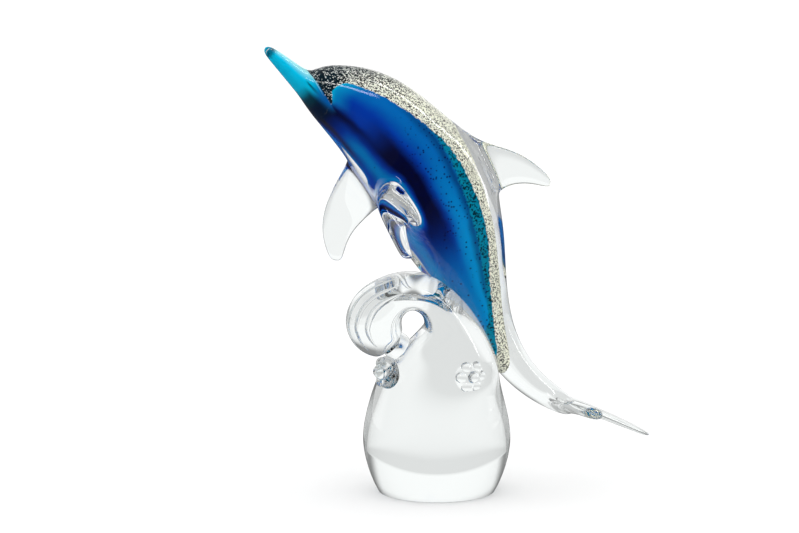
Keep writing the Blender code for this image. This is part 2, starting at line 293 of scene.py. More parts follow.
@dataclass(frozen=True)
class CasedCore:
    """Blue core with a dark middle that is partly painted shade, painted highlights, a stripe of teal grains
    and a back of silver flakes.

    The pattern is laid out over two numbers kept on the core's points: `along`, the place from
    beak to tail in rings of the body, and `across`, from -1 at the belly to 1 at the back.
    """

    sky: tuple[float, float, float, float] = srgb(0, 158, 224)
    azure: tuple[float, float, float, float] = srgb(0, 108, 192)
    blue: tuple[float, float, float, float] = srgb(0, 62, 180)
    navy: tuple[float, float, float, float] = srgb(0, 4, 52)
    turquoise: tuple[float, float, float, float] = srgb(0, 210, 250)
    pale_turquoise: tuple[float, float, float, float] = srgb(176, 240, 246)
    deep_teal: tuple[float, float, float, float] = srgb(0, 66, 84)
    teal: tuple[float, float, float, float] = srgb(0, 138, 172)
    teal_grain: tuple[float, float, float, float] = srgb(0, 48, 62)
    cream: tuple[float, float, float, float] = srgb(252, 250, 232)
    flake_dark: tuple[float, float, float, float] = srgb(44, 40, 34)
    slate: tuple[float, float, float, float] = srgb(16, 34, 44)
    white: tuple[float, float, float, float] = srgb(236, 238, 234)
    core_roughness: float = 0.6
    speck_scale: float = 900.0
    teal_scale: float = 1500.0
    flake_scale: float = 2500.0
    # Lower edge of the teal stripe, dark rim of the blue and lower edge of the silver back, each
    # by place along the body and place across it.
    stripe_line: tuple[tuple[float, float], ...] = (
        (7.4, 0.62), (8.0, 0.60), (9.0, 0.52), (10.0, 0.43), (11.0, 0.41), (12.0, 0.34),
        (12.6, 0.10), (13.1, -0.9)
    )
    rim_line: tuple[tuple[float, float], ...] = (
        (5.0, 0.46), (7.0, 0.56), (9.0, 0.50), (10.0, 0.42), (12.0, 0.32)
    )
    silver_line: tuple[tuple[float, float], ...] = (
        (5.0, 0.44), (6.0, 0.45), (7.0, 0.54), (8.0, 0.66), (9.0, 0.69), (10.0, 0.66),
        (11.0, 0.63), (11.6, 0.53), (12.2, 0.42), (12.8, 0.22), (13.2, -0.1), (13.6, -0.9)
    )

    def body(self, graph: Graph, along: Signal, across: Signal, place: Signal, front: Signal) -> Signal:
        """Blue glass with a dark middle that is partly painted shade, painted shade at its throat, a few
        specks, a painted highlight on the belly and a painted glow at its front.

        Args:
            graph: Node tree of the finish.
            along: Place from beak to tail.
            across: Place from belly to back.
            place: Place on the piece, in metres.
            front: Place along the body where the blue starts.

        Returns:
            The colour of the body.
        """
        spot = across + graph.noise(place, 60.0) * 0.16 - 0.08
        colour = graph.mix(spot.rise(-0.05, 0.35), self.blue, self.azure)
        colour = graph.mix(along.rise(7.6, 10.8) * spot.bump(-0.12, 0.20, 0.52) * 0.8, colour, self.sky)
        colour = graph.mix(along.rise(10.0, 12.6) * 0.75, colour, self.sky)
        # Painted highlight: a lighter sky-blue band along the belly.
        belly = spot.bump(-0.92, -0.72, -0.54) * along.rise(6.0, 7.0)
        colour = graph.mix(belly * 0.65, colour, self.sky)
        # Painted shade: navy darkening on the underside at the front of the body.
        shadow = spot.rise(-0.20, -0.42) * along.rise(6.4, 5.3)
        colour = graph.mix(shadow * 0.85, colour, self.navy)
        # Darker middle: partly the deeper blue of the thickest glass, partly painted shade for the dark that
        # the glass bends in.
        heart_depth_and_shade = spot.rise(-0.62, -0.42) * spot.rise(0.06, -0.20)
        heart_depth_and_shade = heart_depth_and_shade * along.rise(6.2, 7.6) * along.rise(11.6, 9.4)
        colour = graph.mix(heart_depth_and_shade, colour, self.navy)
        # Painted shade: navy darkening at the throat, where the underside faces down.
        throat = spot.bump(-0.66, -0.46, -0.30) * along.rise(7.6, 6.2)
        colour = graph.mix(throat * 0.85, colour, self.navy)
        seam = across.rise(-0.78, -0.90) * along.rise(7.6, 6.6)
        colour = graph.mix(seam * 0.8, colour, self.flake_dark)
        rim = graph.profile(along, LAST_RING, self.rim_line)
        edge = (spot - rim).bump(-0.16, 0.0, 0.10) * along.rise(6.0, 8.0)
        colour = graph.mix(edge * 0.55, colour, self.navy)
        # Painted glow: turquoise lightening at the front edge of the blue, standing in for light through the
        # thin glass there.
        glow = (front - along).rise(-0.70, 0.0) * 0.42 + (front - along).rise(-0.14, 0.0) * 0.35
        colour = graph.mix(glow * across.rise(-0.42, -0.10), colour, self.turquoise)
        specks = graph.grains(place, self.speck_scale).rise(0.44, 0.26)
        few = graph.red_of(graph.grains(place, self.speck_scale, "Color")) + across * 0.20
        return graph.mix(specks * few.rise(0.80, 0.86) * along.rise(6.6, 8.2) * 0.85, colour, self.navy)

    def teal_stripe(self, graph: Graph, place: Signal) -> Signal:
        """Teal glass crowded with dark grains."""
        shade = graph.red_of(graph.grains(place, self.teal_scale, "Color"))
        return graph.mix(shade.rise(0.50, 0.80), self.teal, self.teal_grain)

    def silver(self, graph: Graph, along: Signal, across: Signal, place: Signal) -> Signal:
        """Cream flakes with dark gaps, that thin out to white flakes on slate at the head.

        Args:
            graph: Node tree of the finish.
            along: Place from beak to tail.
            across: Place from belly to back.
            place: Place on the piece, in metres.

        Returns:
            The colour of the back.
        """
        shade = graph.red_of(graph.grains(place, self.flake_scale, "Color"))
        front = ((6.9 - along) * 0.36 + (across - 0.6) * 0.9).rise(0.0, 1.0)
        front = front.at_least(along.rise(5.5, 5.1))
        flake = graph.mix(front, self.cream, self.white)
        gap = graph.mix(front, self.flake_dark, self.slate)
        share = 0.30 + front * 0.56
        return graph.mix((share - shade).rise(-0.04, 0.04), flake, gap)

    def head(self, graph: Graph, along: Signal, across: Signal) -> Signal:
        """Turquoise beak that turns to deep blue along the crease, with painted shade of deep teal and navy
        under the throat.

        Args:
            graph: Node tree of the finish.
            along: Place from beak to tail.
            across: Place from belly to back.

        Returns:
            The colour of the head.
        """
        colour = graph.mix(across.rise(0.1, 0.9), self.turquoise, self.pale_turquoise)
        colour = graph.mix(along.rise(3.2, 5.0), colour, self.azure)
        # Painted shade: deep teal, then navy, under the throat of the head.
        shade = along.rise(2.5, 4.1) * (across + 0.02 + 0.08 * along).rise(0.10, -0.20)
        colour = graph.mix(shade, colour, self.deep_teal)
        colour = graph.mix(shade * along.rise(3.9, 5.0) * 0.8, colour, self.navy)
        streak = (across - 0.72 + 0.22 * along).bump(-0.12, 0.0, 0.12) * along.bump(2.5, 3.3, 5.0)
        colour = graph.mix(streak * 0.85, colour, self.navy)
        return graph.mix(along.rise(0.75, 0.45) * 0.8, colour, self.navy)

    def material(self) -> bpy.types.Material:
        """Make the material."""
        made = bpy.data.materials.new("blue_cased_glass")
        made.use_nodes = True
        graph = Graph(made.node_tree)
        along = graph.attribute("along")
        across = graph.attribute("across")
        place = graph.object_place()
        nose = ((across - 0.04) / 0.50).at_least(-0.6)
        front = 5.12 + 0.75 * (1.0 - (1.0 - nose * nose).at_least(0.0).root())
        colour = self.body(graph, along, across, place, front)
        ragged = graph.noise(place, 500.0, 4.0) * 0.08 - 0.04
        edge = across + ragged
        stripe_foot = graph.profile(along, LAST_RING, self.stripe_line)
        stripe = (edge - stripe_foot).rise(-0.03, 0.03) * along.rise(7.2, 7.8)
        colour = graph.mix(stripe, colour, self.teal_stripe(graph, place))
        silver_foot = graph.profile(along, LAST_RING, self.silver_line)
        silver = (edge - silver_foot).rise(-0.012, 0.012)
        silver = silver.at_least((front - along + ragged).rise(-0.02, 0.02))
        colour = graph.mix(silver, colour, self.silver(graph, along, across, place))
        beak = (0.9 - 0.45 * (along - 2.5) - across).rise(-0.02, 0.02)
        beak = beak * (front - along).rise(-0.30, 0.05)
        colour = graph.mix(beak, colour, self.head(graph, along, across))
        # Painted highlight: a pale line along the crease between beak and head, standing in for light caught
        # by a groove there.
        crease = (across - 0.84 + 0.45 * (along - 2.5)).bump(-0.05, 0.0, 0.05) * along.rise(5.0, 4.0)
        colour = graph.mix(crease * 0.7, colour, self.pale_turquoise)
        inputs = {"Base Color": colour, "Roughness": self.core_roughness, "Specular IOR Level": 0.0}
        graph.surface(graph.add("ShaderNodeBsdfPrincipled", {}, inputs))
        return made


@dataclass(frozen=True)
class PaleFloor:
    """Matt white floor of the studio, which falls into the dark in front of the figurine."""

    lift: float = 0.09
    dark: float = 0.08
    dim: float = 0.50
    # Changes of brightness on the way back: where each starts and ends, and how much it is.
    changes: tuple[tuple[float, float, float], ...] = (
        (-0.30, 0.02, 0.10), (0.03, 0.06, 0.38), (0.10, 0.15, -0.18), (0.4, 0.9, 0.18)
    )

    def material(self) -> bpy.types.Material:
        """Make the material."""
        made = bpy.data.materials.new("pale_floor")
        made.use_nodes = True
        graph = Graph(made.node_tree)
        sight = graph.add("ShaderNodeLightPath", {}, {}, "Is Camera Ray")
        depth = graph.add("ShaderNodeSeparateXYZ", {}, {0: graph.object_place()}, "Y")
        inside = graph.add("ShaderNodeLightPath", {}, {}, "Transmission Depth").at_most(1.0)
        through = sum((depth.rise(start, end) * change for start, end, change in self.changes), self.dim)
        glimpsed = self.dark + inside * (through - self.dark)
        lit = graph.add("ShaderNodeBsdfDiffuse", {}, {"Color": (0.5, 0.5, 0.5, 1.0)})
        glow = graph.add("ShaderNodeEmission", {}, {"Strength": self.lift})
        seen = graph.add("ShaderNodeAddShader", {}, {0: lit, 1: glow})
        hidden = graph.add("ShaderNodeEmission", {}, {"Strength": glimpsed})
        graph.surface(graph.add("ShaderNodeMixShader", {}, {0: sight, 1: hidden, 2: seen}))
        return made


# Shaping with the edit-mode operators


@dataclass(frozen=True)
class Ring:
    """Ring of a cage: its middle, two square directions and its half sizes along them."""

    centre: Vector
    across: Vector
    side: Vector
    half_depth: float
    half_width: float

    def frame(self) -> Matrix:
        """Place that carries a unit circle, facing up, to the ring."""
        along = self.across.cross(self.side).normalized() * MM
        columns = (self.across * self.half_depth, self.side * self.half_width, along)
        return Matrix.Translation(self.centre) @ Matrix(columns).transposed().to_4x4()

    def point(self, angle: float) -> Vector:
        """Point of the ring at an angle in degrees from across.

        Args:
            angle: Angle round the ring, in degrees.

        Returns:
            The point, in metres.
        """
        turn = math.radians(angle)
        depth = self.across * self.half_depth * math.cos(turn)
        return self.centre + depth + self.side * self.half_width * math.sin(turn)


class Cage:
    """Closed mesh that is shaped by extruding one end from ring to ring."""

    def __init__(self, name: str, first: Ring) -> None:
        """Start from a filled circle that is fitted to the first ring.

        Args:
            name: Name of the piece.
            first: Ring that the circle is fitted to.
        """
        bpy.ops.object.select_all(action="DESELECT")
        bpy.ops.mesh.primitive_circle_add(vertices=SIDES, radius=1.0, fill_type="NGON")
        self.thing = bpy.context.object
        self.thing.name = name
        self.ring = Ring(Vector(), Vector((1.0, 0.0, 0.0)), Vector((0.0, 1.0, 0.0)), 1.0, 1.0)
        bpy.ops.object.mode_set(mode="EDIT")
        bpy.ops.mesh.select_mode(type="FACE")
        bpy.ops.transform.rotate(value=math.pi / SIDES, orient_axis="Z", center_override=(0.0, 0.0, 0.0))
        self._fit(first)

    def _fit(self, ring: Ring) -> None:
        """Carry the selected end from the last ring to the next.

        Args:
            ring: Ring that the end is fitted to.
        """
        bpy.ops.object.mode_set(mode="OBJECT")
        carry = ring.frame() @ self.ring.frame().inverted()
        for corner in self.thing.data.vertices:
            if corner.select:
                corner.co = carry @ corner.co
        bpy.ops.object.mode_set(mode="EDIT")
        self.ring = ring

    def run_through(self, rings: list[Ring]) -> None:
        """Extrude the end through more rings."""
        for ring in rings:
            bpy.ops.mesh.extrude_region_move()
            self._fit(ring)

    def grow(self, targets: list[Vector], sections: list["FinSection"]) -> None:
        """Draw a fin out of the faces nearest to some points.

        Args:
            targets: Points that the faces lie nearest to.
            sections: Sections that the fin runs through, from its root.
        """
        bpy.ops.mesh.select_all(action="DESELECT")
        bpy.ops.object.mode_set(mode="OBJECT")
        faces = self.thing.data.polygons
        middle = Vector()
        for target in targets:
            nearest = min(faces, key=lambda face: (face.center - target).length)
            nearest.select = True
            middle = middle + nearest.center / len(targets)
        for section in sections:
            bpy.ops.object.mode_set(mode="EDIT")
            bpy.ops.mesh.extrude_region_move()
            bpy.ops.object.mode_set(mode="OBJECT")
            corners = [corner for corner in self.thing.data.vertices if corner.select]
            section.place_corners(corners, middle)
            middle = section.middle()
        bpy.ops.object.mode_set(mode="EDIT")

    def crease_foot(self) -> None:
        """Keep the rim of the lowest face sharp when the cage is rounded."""
        bpy.ops.mesh.select_all(action="DESELECT")
        bpy.ops.object.mode_set(mode="OBJECT")
        min(self.thing.data.polygons, key=lambda face: face.center.z).select = True
        bpy.ops.object.mode_set(mode="EDIT")
        bpy.ops.transform.edge_crease(value=1.0)

    def finish(self, smoothing: int) -> bpy.types.Object:
        """Close the work on the cage and round it.

        Args:
            smoothing: Times that the faces are divided.

        Returns:
            The finished piece.
        """
        bpy.ops.mesh.select_all(action="SELECT")
        bpy.ops.mesh.normals_make_consistent(inside=False)
        bpy.ops.object.mode_set(mode="OBJECT")
        rounding = self.thing.modifiers.new("rounding", "SUBSURF")
        rounding.levels = rounding.render_levels = smoothing
        bpy.ops.object.modifier_apply(modifier=rounding.name)
        return self.thing


@dataclass(frozen=True)
class FinSection:
    """Thin section of a fin between its leading and trailing edges."""

    lead: Vector
    trail: Vector
    thickness: float

    def middle(self) -> Vector:
        """Middle of the section."""
        return (self.lead + self.trail) / 2.0

    def place_corners(self, corners: list[bpy.types.MeshVertex], root: Vector) -> None:
        """Spread the corners of a fin's end over the section.

        Args:
            corners: Corners of the end, in any order.
            root: Middle of the section before this one.
        """
        chord = self.trail - self.lead
        normal = chord.cross(self.middle() - root).normalized()
        ordered = sorted(corners, key=lambda corner: corner.co.dot(chord))
        pairs = [ordered[start : start + 2] for start in range(0, len(ordered), 2)]
        for place, pair in enumerate(pairs):
            share = place / (len(pairs) - 1)
            at_edge = place in (0, len(pairs) - 1) and len(pairs) > 2
            offset = normal * self.thickness * (0.35 if at_edge else 0.5)
            inner, outer = sorted(pair, key=lambda corner: corner.co.dot(normal))
            inner.co = self.lead + chord * share - offset
            outer.co = self.lead + chord * share + offset


def gather(name: str, pieces: list[bpy.types.Object]) -> bpy.types.Object:
    """Bring separate closed pieces into one object.

    Args:
        name: Name of the object.
        pieces: Pieces that don't touch one another.

    Returns:
        The first piece, which now holds them all.
    """
    bpy.ops.object.select_all(action="DESELECT")
    for piece in pieces:
        piece.select_set(True)
    bpy.context.view_layer.objects.active = pieces[0]
    bpy.ops.object.join()
    pieces[0].name = name
    return pieces[0]


def join(thing: bpy.types.Object, other: bpy.types.Object, operation: Operation) -> None:
    """Melt another piece into this one, or cut it away, and remove it.

    Args:
        thing: Piece that stays.
        other: Piece that is used up.
        operation: Whether it is melted in or cut away.
    """
    bpy.ops.object.select_all(action="DESELECT")
    bpy.context.view_layer.objects.active = thing
    thing.select_set(True)
    step = thing.modifiers.new("join", "BOOLEAN")
    step.operation = operation.value
    step.object = other
    step.solver = "MANIFOLD"
    bpy.ops.object.modifier_apply(modifier=step.name)
    bpy.data.objects.remove(other, do_unlink=True)


# Wave


@dataclass
class Wave:
    """Heavy round base that narrows to a neck and curls over in a crest."""

    foot_radius: float = 26.0 * MM
    foot_flare: float = 3.4 * MM
    foot_flare_level: float = 6.0 * MM
    belly_size: tuple[float, float] = (69.0 * MM, 64.0 * MM)
    belly_level: float = 23.0 * MM
    neck_size: tuple[float, float] = (60.5 * MM, 57.0 * MM)
    neck_level: float = 41.0 * MM
    # Slanting rings of the shoulders: left X and Z, right X and Z, and depth, in millimetres.
    shoulders: tuple[tuple[float, float, float, float, float], ...] = (
        (-25.4, 55.6, 28.4, 48.0, 54.0),
        (-14.4, 66.0, 27.6, 54.0, 53.0),
    )
    eye: Vector = field(default_factory=lambda: Vector((-10.7 * MM, 0.0, 76.0 * MM)))
    eye_size: tuple[float, float] = (9.8 * MM, 14.4 * MM)
    eye_wall_reach: float = 9.0 * MM
    eye_wall_share: float = 2.0
    crest_depth: float = 46.0 * MM
    # Turns of the curl: angle round the eye, outside radius in millimetres, share of its depth.
    turns: tuple[tuple[float, float, float], ...] = (
        (-24.0, 39.8, 1.12),
        (-4.0, 30.6, 1.08),
        (26.0, 24.2, 1.02),
        (58.0, 22.6, 0.97),
        (92.0, 22.5, 0.96),
        (124.0, 23.8, 0.98),
        (154.0, 28.4, 0.98),
        (180.0, 30.2, 0.94),
        (203.0, 27.2, 0.86),
        (220.0, 22.6, 0.70),
    )
    # Tip of the curl: angle, inside and outside radius in millimetres, share of its depth.
    tip: tuple[float, float, float, float] = (227.0, 9.5, 19.5, 0.50)
    seam_angle: float = 236.0
    seam_distance: float = 12.8 * MM
    seam_size: tuple[float, float] = (6.3 * MM, 12.0 * MM)
    rib_count: int = 7
    rib_spread: float = 156.0
    rib_radius: float = 1.8 * MM
    rib_angles: tuple[float, float] = (104.0, 208.0)
    rib_points: int = 24
    rib_taper: float = 0.15
    smoothing: int = 4

    def round_eye(self, angle: float, distance: float) -> Vector:
        """Point of the XZ plane at an angle and a distance from the middle of the eye."""
        turn = math.radians(angle)
        return self.eye + Vector((math.cos(turn), 0.0, math.sin(turn))) * distance

    def eye_radius(self, angle: float) -> float:
        """Distance from the middle of the eye to its edge at an angle.

        Args:
            angle: Angle round the eye, in degrees.

        Returns:
            The distance, in metres.
        """
        turn = math.radians(angle)
        width, height = self.eye_size
        return 1.0 / math.hypot(math.cos(turn) / (width / 2.0), math.sin(turn) / (height / 2.0))

    def curl(self) -> list[tuple[float, float, float, float]]:
        """List each turn of the curl.

        Returns:
            The angle, inside radius, outside radius and depth of each turn, with the tip last.
        """
        found = []
        for angle, outside, share in self.turns:
            found.append((angle, self.eye_radius(angle), outside * MM, self.crest_depth * share))
        angle, inside, outside, share = self.tip
        found.append((angle, inside * MM, outside * MM, self.crest_depth * share))
        return found

    def slanting_ring(self, left: Vector, right: Vector, depth: float) -> Ring:
        """Ring across the wave between two points of the XZ plane.

        Args:
            left: End of the ring on one side.
            right: End of the ring on the other side.
            depth: Size of the ring from front to back.

        Returns:
            The ring, large enough to be smoothed.
        """
        across = (right - left).normalized()
        half_thickness = (right - left).length / 2.0 * RING_FULLNESS
        half_depth = depth / 2.0 * RING_FULLNESS
        return Ring((left + right) / 2.0, across, Vector((0.0, 1.0, 0.0)), half_thickness, half_depth)

    def level_ring(self, level: float, width: float, depth: float) -> Ring:
        """Ring that lies flat at a height.

        Args:
            level: Height above the floor.
            width: Size along X.
            depth: Size along Y.

        Returns:
            The ring, large enough to be smoothed.
        """
        half = Vector((width / 2.0, 0.0, 0.0))
        middle = Vector((0.0, 0.0, level))
        return self.slanting_ring(middle - half, middle + half, depth)

    def rings(self) -> list[Ring]:
        """List the rings of the wave, from the foot up the base and round the curl.

        Returns:
            The rings in order.
        """
        foot = 2.0 * self.foot_radius
        flare = 2.0 * (self.foot_radius + self.foot_flare)
        found = [
            self.level_ring(0.0, foot, foot),
            self.level_ring(self.foot_flare_level, flare, flare),
            self.level_ring(self.belly_level, *self.belly_size),
            self.level_ring(self.neck_level, *self.neck_size),
        ]
        for left_x, left_z, right_x, right_z, depth in self.shoulders:
            left = Vector((left_x, 0.0, left_z)) * MM
            right = Vector((right_x, 0.0, right_z)) * MM
            found.append(self.slanting_ring(left, right, depth * MM))
        for angle, inside, outside, depth in self.curl():
            inner = self.round_eye(angle, inside * TURN_FULLNESS)
            outer = self.round_eye(angle, outside * TURN_FULLNESS)
            found.append(self.slanting_ring(inner, outer, depth))
        return found

    def straighten_eye(self, cage: Cage) -> None:
        """Spread the corners round the eye over its depth, so that its wall runs straight through.

        Args:
            cage: Cage of the wave.
        """
        bpy.ops.object.mode_set(mode="OBJECT")
        for corner in cage.thing.data.vertices:
            reach = Vector((corner.co.x, 0.0, corner.co.z)) - self.eye
            if reach.length < self.eye_wall_reach:
                corner.co.y *= self.eye_wall_share
        bpy.ops.object.mode_set(mode="EDIT")

    def turn_at(self, angle: float) -> tuple[float, float, float]:
        """Inside radius, outside radius and depth of the curl at an angle round the eye.

        Args:
            angle: Angle round the eye, in degrees.

        Returns:
            The two radii and the depth, in metres.
        """
        curl = self.curl()
        for before, after in zip(curl, curl[1:]):
            if before[0] <= angle <= after[0]:
                share = (angle - before[0]) / (after[0] - before[0])
                pairs = zip(before[1:], after[1:])
                inside, outside, depth = (low + (high - low) * share for low, high in pairs)
                return inside, outside, depth
        return curl[-1][1:]

    def rib_point(self, angle: float, spread: float) -> Vector:
        """Point on the outside of the curl, at an angle round the eye and one round the section.

        Args:
            angle: Angle round the eye, in degrees.
            spread: Angle round the section, in degrees.

        Returns:
            The point, in metres.
        """
        inside, outside, depth = self.turn_at(angle)
        turn = math.radians(spread)
        middle = self.round_eye(angle, (inside + outside) / 2.0 + (outside - inside) / 2.0 * math.cos(turn))
        return middle + Vector((0.0, depth / 2.0 * math.sin(turn), 0.0))

    def rib(self, spread: float) -> bpy.types.Object:
        """Make the tube that presses one rib.

        Args:
            spread: Angle of the rib round the section, in degrees.

        Returns:
            The tube, tapered towards both ends.
        """
        start, end = self.rib_angles
        points = []
        for index in range(self.rib_points):
            share = index / (self.rib_points - 1)
            points.append((self.rib_point(start + (end - start) * share, spread), share))
        rings = []
        for index, (point, share) in enumerate(points):
            before = points[max(index - 1, 0)][0]
            after = points[min(index + 1, self.rib_points - 1)][0]
            along = (after - before).normalized()
            side = along.cross((point - self.eye).normalized()).normalized()
            radius = self.rib_radius * (self.rib_taper + (1.0 - self.rib_taper) * math.sin(math.pi * share))
            rings.append(Ring(point, side.cross(along), side, radius, radius))
        tube = Cage("rib", rings[0])
        tube.run_through(rings[1:])
        return tube.finish(1)

    def seam(self) -> bpy.types.Object:
        """Make the blob that closes the curl, where its tip melts onto the neck.

        Returns:
            The blob, long across the wave.
        """
        radius, half_depth = self.seam_size
        bpy.ops.object.select_all(action="DESELECT")
        bpy.ops.mesh.primitive_uv_sphere_add(segments=64, ring_count=32, radius=radius)
        blob = bpy.context.object
        blob.name = "curl_seam"
        bpy.ops.object.mode_set(mode="EDIT")
        bpy.ops.mesh.select_all(action="SELECT")
        bpy.ops.transform.resize(value=(1.0, half_depth / radius, 1.0), center_override=(0.0, 0.0, 0.0))
        bpy.ops.transform.translate(value=self.round_eye(self.seam_angle, self.seam_distance))
        bpy.ops.object.mode_set(mode="OBJECT")
        return blob

    def build(self) -> bpy.types.Object:
        """Make the wave with its closed curl and its pressed ribs.

        Returns:
            The piece of glass.
        """
        rings = self.rings()
        cage = Cage("wave_glass", rings[0])
        cage.run_through(rings[1:])
        self.straighten_eye(cage)
        cage.crease_foot()
        wave = cage.finish(self.smoothing)
        join(wave, self.seam(), Operation.MELT)
        spreads = [self.rib_spread * (index / (self.rib_count - 1) - 0.5) for index in range(self.rib_count)]
        join(wave, gather("ribs", [self.rib(spread) for spread in spreads]), Operation.CUT)
        return wave


@dataclass
class Prunt:
    """Blob with a ring of berries round a middle one, melted onto the front of the wave."""

    turn: float
    radius: float = 7.3 * MM
    height: float = 4.2 * MM
    level: float = 56.0 * MM
    setback: float = 26.4 * MM
    berry_radius: float = 2.7 * MM
    berry_count: int = 6
    berry_sink: float = 0.4 * MM
    berry_rise: float = 1.5 * MM

    def place(self) -> Matrix:
        """Place on the wave, with Z facing out."""
        facing = Matrix.Rotation(math.radians(self.turn), 4, "Z") @ Matrix.Rotation(math.pi / 2.0, 4, "X")
        raised = Matrix.Translation((0.0, 0.0, self.level)) @ facing
        return raised @ Matrix.Translation((0.0, 0.0, self.setback))

    def berry_spots(self) -> list[Vector]:
        """Middle of each berry, in the blob's own place."""
        ring = self.radius - self.berry_radius
        spots = [Vector((0.0, 0.0, self.height - self.berry_sink))]
        for step in range(self.berry_count):
            turn = math.tau * step / self.berry_count
            spots.append(Vector((ring * math.cos(turn), ring * math.sin(turn), self.berry_rise)))
        return spots

    def build(self) -> bpy.types.Object:
        """Make the blob with its berries.

        Returns:
            The piece, closed and in place.
        """
        bpy.ops.object.select_all(action="DESELECT")
        bpy.ops.mesh.primitive_uv_sphere_add(segments=48, ring_count=24, radius=self.radius)
        blob = bpy.context.object
        blob.name = "prunt"
        bpy.ops.object.mode_set(mode="EDIT")
        flat = self.height / self.radius
        bpy.ops.transform.resize(value=(1.0, 1.0, flat), center_override=(0.0, 0.0, 0.0))
        bpy.ops.object.mode_set(mode="OBJECT")
        for spot in self.berry_spots():
            bpy.ops.object.select_all(action="DESELECT")
            bpy.ops.mesh.primitive_ico_sphere_add(
                subdivisions=4, radius=self.berry_radius, location=spot
            )
            berry = bpy.context.object
            bpy.ops.object.transform_apply(location=True, rotation=False, scale=False)
            join(blob, berry, Operation.MELT)
        blob.data.transform(self.place())
        return blob


# Dolphin


